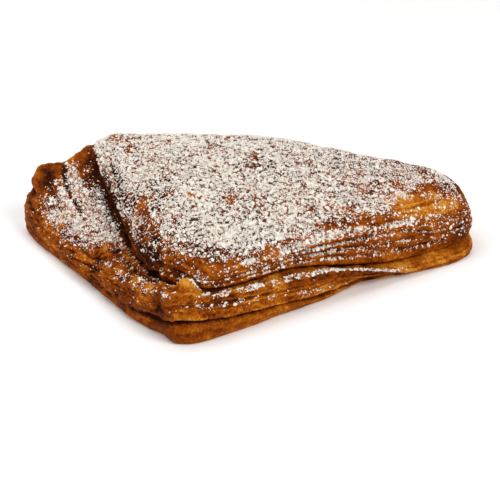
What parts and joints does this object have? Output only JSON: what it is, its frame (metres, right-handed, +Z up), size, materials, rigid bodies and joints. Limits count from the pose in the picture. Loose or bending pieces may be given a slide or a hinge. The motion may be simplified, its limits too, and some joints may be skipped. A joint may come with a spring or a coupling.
{
  "type": "jam turnover",
  "caption": "Baked puff pastry folded corner to corner, with open layered front edges, a stepped left wing and a domed dusted top.",
  "frame": {"origin": "middle of the bounding box's underside, on the flat sole", "axes": "+X along the folded back edge to the viewer's right, +Y away from the open front edge, +Z up"},
  "size_m": [0.1596, 0.0924, 0.0404],
  "materials": {
    "crust": "matte baked crust"
  },
  "bodies": {
    "root": {"turnover": "crust"}
  },
  "joints": []
}
